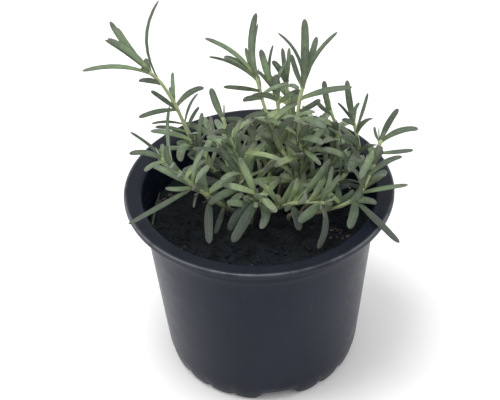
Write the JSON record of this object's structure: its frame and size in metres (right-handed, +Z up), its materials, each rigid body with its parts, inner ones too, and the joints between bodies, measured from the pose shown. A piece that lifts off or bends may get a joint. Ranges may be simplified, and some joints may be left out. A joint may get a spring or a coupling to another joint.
{
  "type": "potted rosemary",
  "caption": "Young rosemary plant with narrow grey-green leaves on leaning shoots, in a round dark nursery pot with a flat rim and scalloped foot.",
  "frame": {"origin": "on the floor, under the middle of the pot's axis", "axes": "+Z up along the pot's axis, +X to the right and -Y towards the viewer of the front view"},
  "size_m": [0.142, 0.12, 0.172],
  "materials": {
    "pot_plastic": "dark bluish charcoal moulded plastic with a soft sheen, paler scuffs on the rim and dust low on the wall",
    "soil": "moist, nearly black peat-based potting soil, crumbly and dull",
    "foliage": "grey-green narrow leaves with a fine felt, a paler underside and midrib, and yellow-green young stems"
  },
  "bodies": {
    "root": {"pot": "pot_plastic", "soil": "soil", "shoot_left_spire": "foliage", "shoot_left_low": "foliage", "shoot_centre_left": "foliage", "shoot_centre_spire": "foliage", "shoot_centre_tips": "foliage", "shoot_back_tips": "foliage", "shoot_right_spire": "foliage", "shoot_right_back": "foliage", "shoot_right_upper": "foliage", "shoot_right_low": "foliage", "shoot_front": "foliage", "shoot_front_left": "foliage", "shoot_back_left": "foliage", "shoot_back": "foliage", "shoot_back_right": "foliage"}
  },
  "joints": []
}
